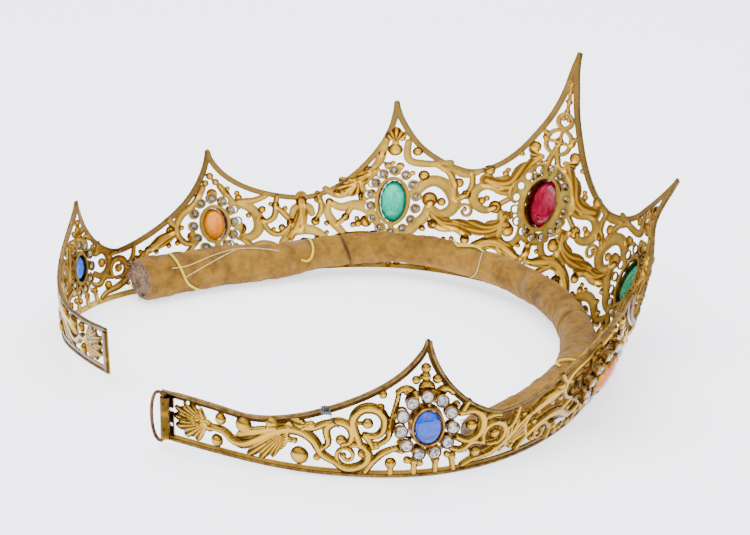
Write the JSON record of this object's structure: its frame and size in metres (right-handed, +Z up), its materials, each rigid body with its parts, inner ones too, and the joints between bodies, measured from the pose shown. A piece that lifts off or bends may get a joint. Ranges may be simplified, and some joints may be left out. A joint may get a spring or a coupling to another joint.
{
  "type": "tiara",
  "caption": "Open-backed tiara of pierced gilt metal with pointed panels, oval coloured stones in small-stone surrounds, a wire clasp loop and a padded inner roll.",
  "frame": {"origin": "middle of the footprint, on the surface that the tiara rests on", "axes": "+Z up, -Y towards the tallest front panel, the open back towards +Y, the end with the wire loop at -X"},
  "size_m": [0.1974, 0.1964, 0.0837],
  "materials": {
    "gilt_brass": "aged gilt, dull in the hollows",
    "setting_brass": "aged gilt, worn bright on the rims",
    "glass_blue": "cut and polished, mid blue",
    "glass_amber": "cut and polished, orange",
    "glass_green": "cut and polished, sea green",
    "glass_ruby": "cut and polished, pinkish red",
    "copper_wire": "dark copper-brown patina",
    "steel_wire": "dull grey",
    "chamois": "soft mustard tan, rubbed and soiled"
  },
  "bodies": {
    "tiara": {"band": "gilt_brass", "setting_1": "setting_brass", "setting_2": "setting_brass", "setting_3": "setting_brass", "setting_4": "setting_brass", "setting_5": "setting_brass", "setting_6": "setting_brass", "setting_7": "setting_brass", "stone_1": "glass_blue", "stone_2": "glass_amber", "stone_3": "glass_green", "stone_4": "glass_ruby", "stone_5": "glass_green", "stone_6": "glass_amber", "stone_7": "glass_blue", "rail_wire_wrap": "steel_wire", "padding_roll": "chamois"},
    "clasp_loop": {"clasp_loop": "copper_wire"}
  },
  "joints": [
    {"name": "loop_hinge", "type": "hinge", "parent": "tiara", "child": "clasp_loop", "pos_m": [-0.02017, 0.09636, 0.00236], "axis": [0.0031, -0.0081, 1], "range_deg": [-15, 90]}
  ]
}
